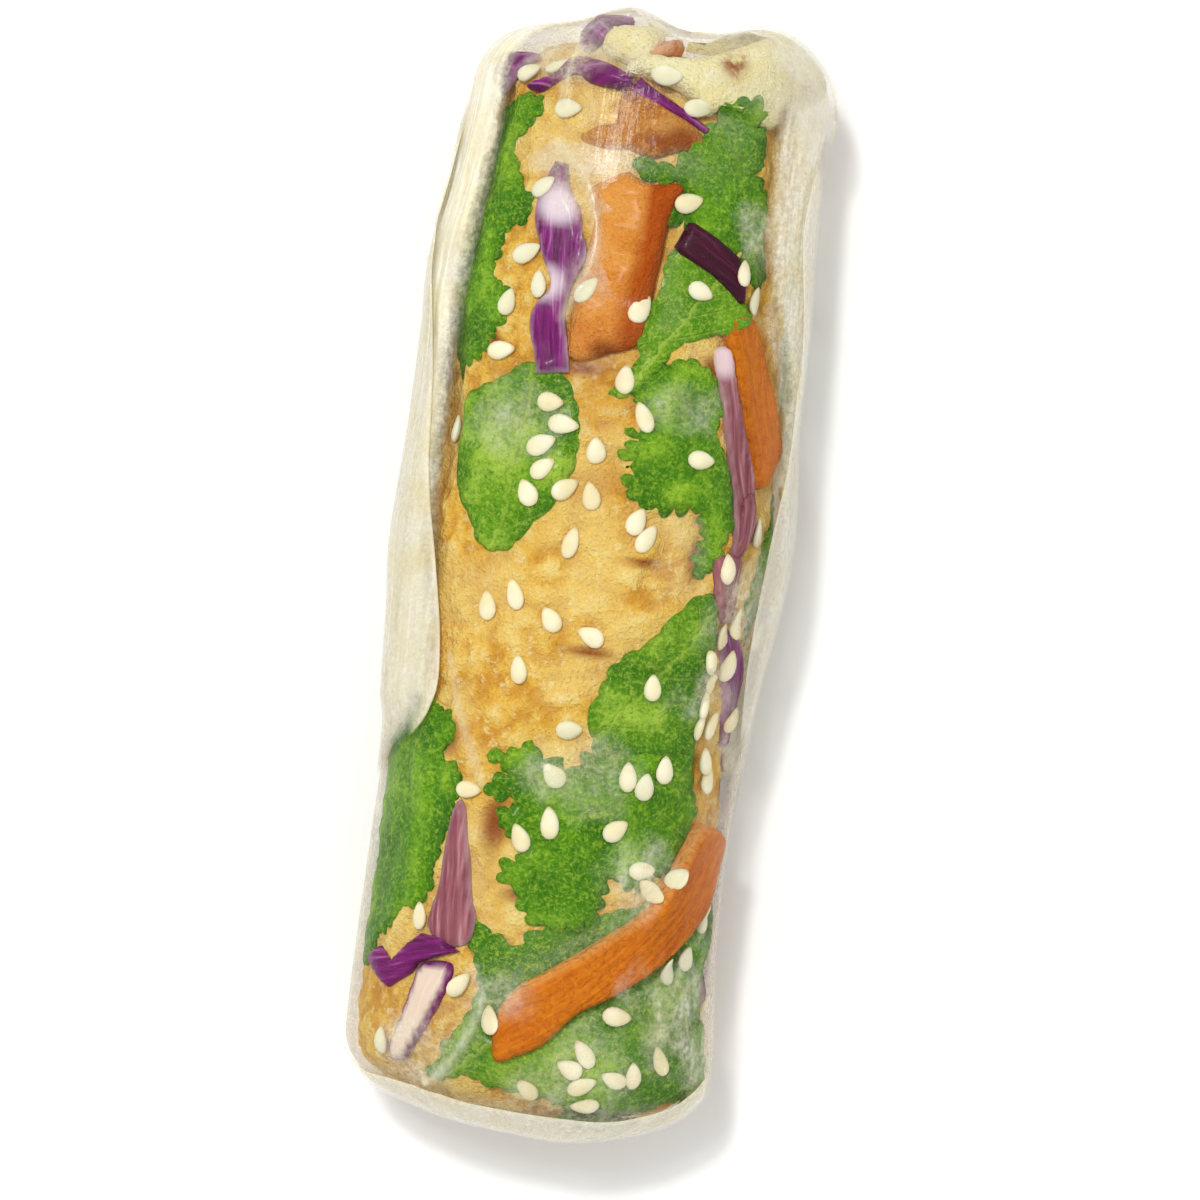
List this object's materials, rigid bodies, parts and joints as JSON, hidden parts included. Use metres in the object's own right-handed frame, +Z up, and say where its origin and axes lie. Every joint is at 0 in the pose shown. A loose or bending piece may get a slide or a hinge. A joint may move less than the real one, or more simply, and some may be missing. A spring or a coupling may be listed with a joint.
{
  "type": "rice paper roll",
  "caption": "Rice paper roll lying down: a clear, milky-edged sheet wound round a golden crumbed fillet with slabs, carrot, red cabbage, herb leaves and sesame.",
  "frame": {"origin": "centre of the underside, on the surface the roll lies on, under the middle of its box", "axes": "+Y along the roll towards the end with the raised folds; +Z up, with the seen side up; +X to the right as seen from above"},
  "size_m": [0.0422, 0.1184, 0.0307],
  "materials": {
    "rice_paper": "clear, milky where it laps, moist gloss",
    "crumbed_fillet": "fried golden crumb",
    "orange_slab": "soft and fibrous, orange",
    "browned_end": "browned orange crust",
    "pale_slab": "pale yellow with toasted spots",
    "carrot": "raw carrot, moist",
    "cabbage": "purple with pale cut edges",
    "leaf": "fresh green herb leaf"
  },
  "bodies": {
    "root": {"browned_end": "browned_end", "cabbage_band": "cabbage", "cabbage_below_left": "cabbage", "cabbage_below_right": "cabbage", "cabbage_cream": "cabbage", "cabbage_cross": "cabbage", "cabbage_dark": "cabbage", "cabbage_left_low": "cabbage", "cabbage_middle": "cabbage", "cabbage_right": "cabbage", "cabbage_right_low": "cabbage", "cabbage_side": "cabbage", "cabbage_thread": "cabbage", "cabbage_top": "cabbage", "cabbage_top_left": "cabbage", "carrot_arc": "carrot", "carrot_baton": "carrot", "carrot_below": "carrot", "carrot_tip": "carrot", "crumbed_fillet": "crumbed_fillet", "leaf_below_left_low": "leaf", "leaf_below_left_top": "leaf", "leaf_below_right_low": "leaf", "leaf_below_right_top": "leaf", "leaf_beside_baton": "leaf", "leaf_big": "leaf", "leaf_bottom": "leaf", "leaf_corner": "leaf", "leaf_foot": "leaf", "leaf_left_low": "leaf", "leaf_left_top": "leaf", "leaf_low": "leaf", "leaf_middle": "leaf", "leaf_right_side": "leaf", "leaf_round": "leaf", "leaf_stalk": "leaf", "leaf_top_right": "leaf", "orange_slab": "orange_slab", "pale_end": "pale_slab", "pale_slab": "pale_slab", "rice_paper": "rice_paper"}
  },
  "joints": []
}
